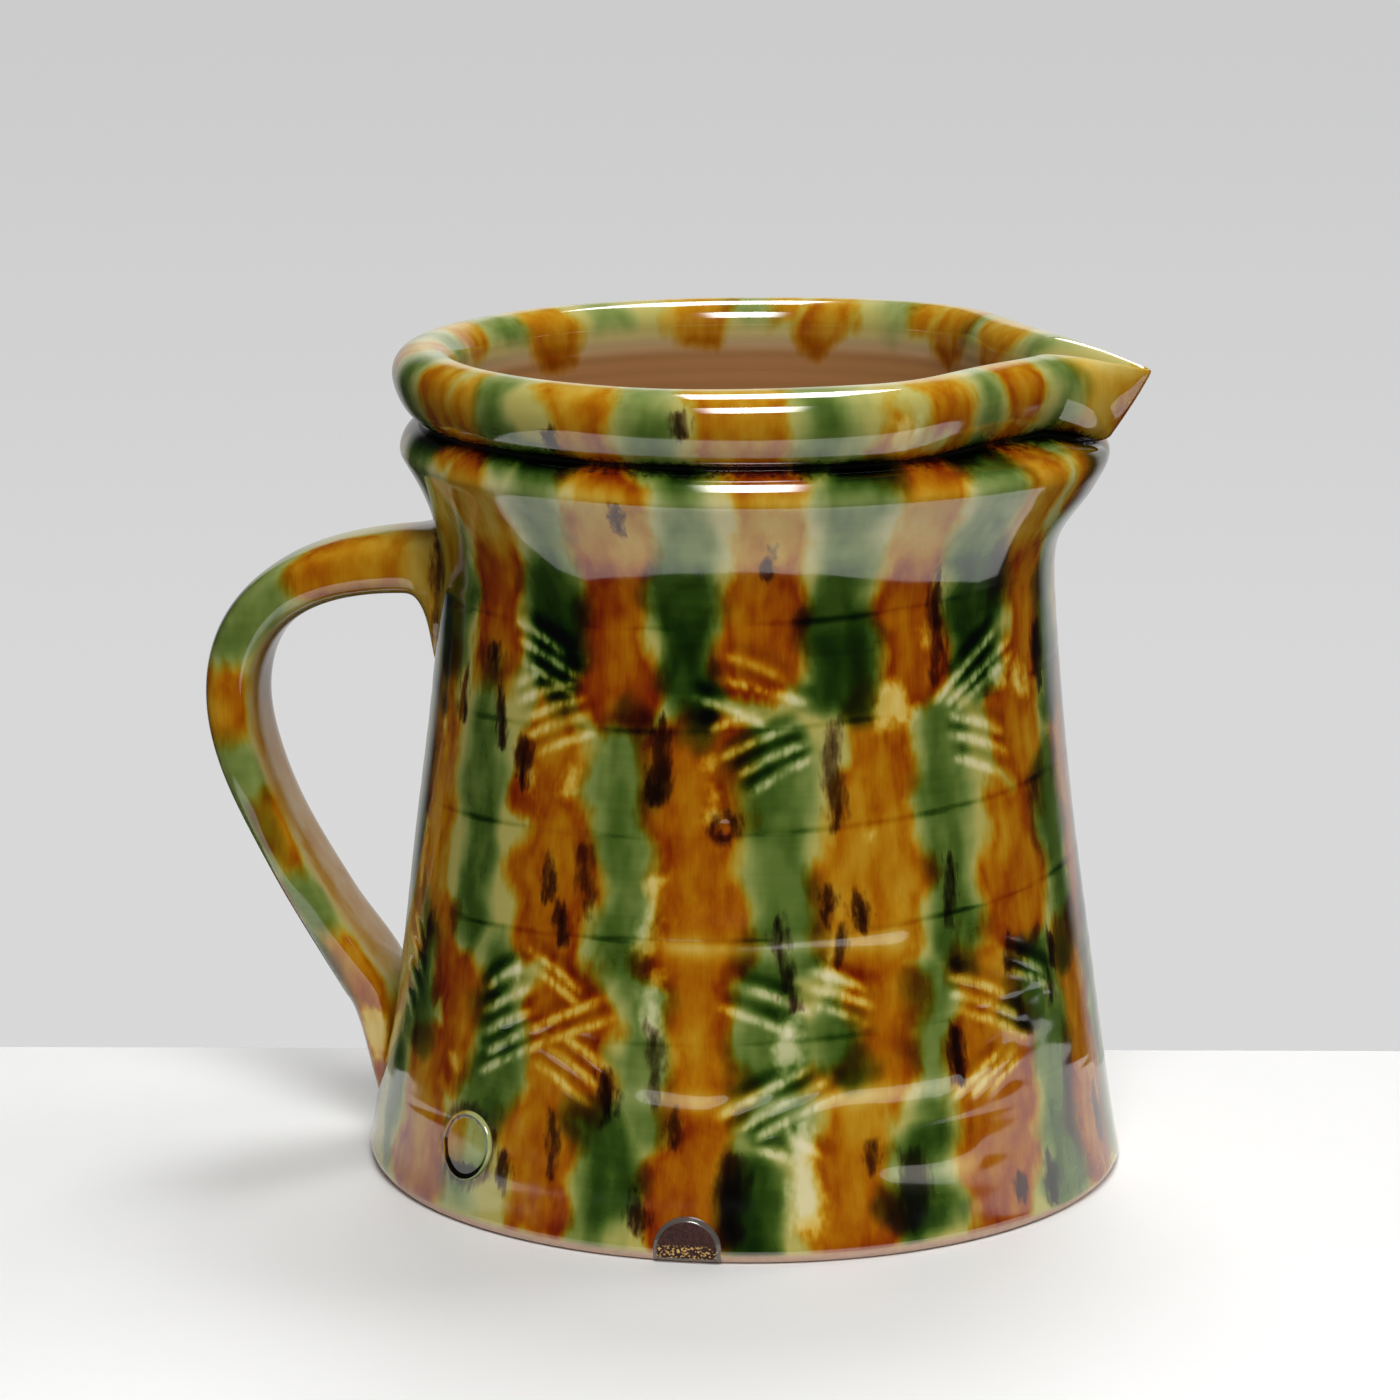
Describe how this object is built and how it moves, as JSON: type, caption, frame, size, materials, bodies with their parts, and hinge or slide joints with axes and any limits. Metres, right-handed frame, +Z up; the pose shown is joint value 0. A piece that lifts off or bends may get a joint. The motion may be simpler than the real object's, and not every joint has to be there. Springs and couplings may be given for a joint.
{
  "type": "pouring jug",
  "caption": "Glazed earthenware pouring jug: a tapering thrown body with a shoulder roll and a rolled rim pinched into a pouring lip, and a strap handle luted on.",
  "frame": {"origin": "centre of the flat base, on the jug's axis, at the surface that it stands on", "axes": "+Z up along the jug's axis, +X towards the pouring lip, -X towards the handle"},
  "size_m": [0.2066, 0.1651, 0.1807],
  "materials": {
    "outer_glaze": "gloss lead-type glaze over cream slip, streaked green and amber",
    "handle_glaze": "gloss glaze over cream slip, dabbed amber and green",
    "inner_glaze": "gloss honey glaze",
    "dark_glaze": "dark glaze, ground flat"
  },
  "bodies": {
    "root": {"thrown_body": "outer_glaze", "pouring_lip": "outer_glaze", "handle": "handle_glaze", "upper_join_coil": "handle_glaze", "lower_join_coil": "handle_glaze", "seal_pad": "outer_glaze", "glaze_lining": "inner_glaze", "glaze_bead": "dark_glaze"}
  },
  "joints": []
}
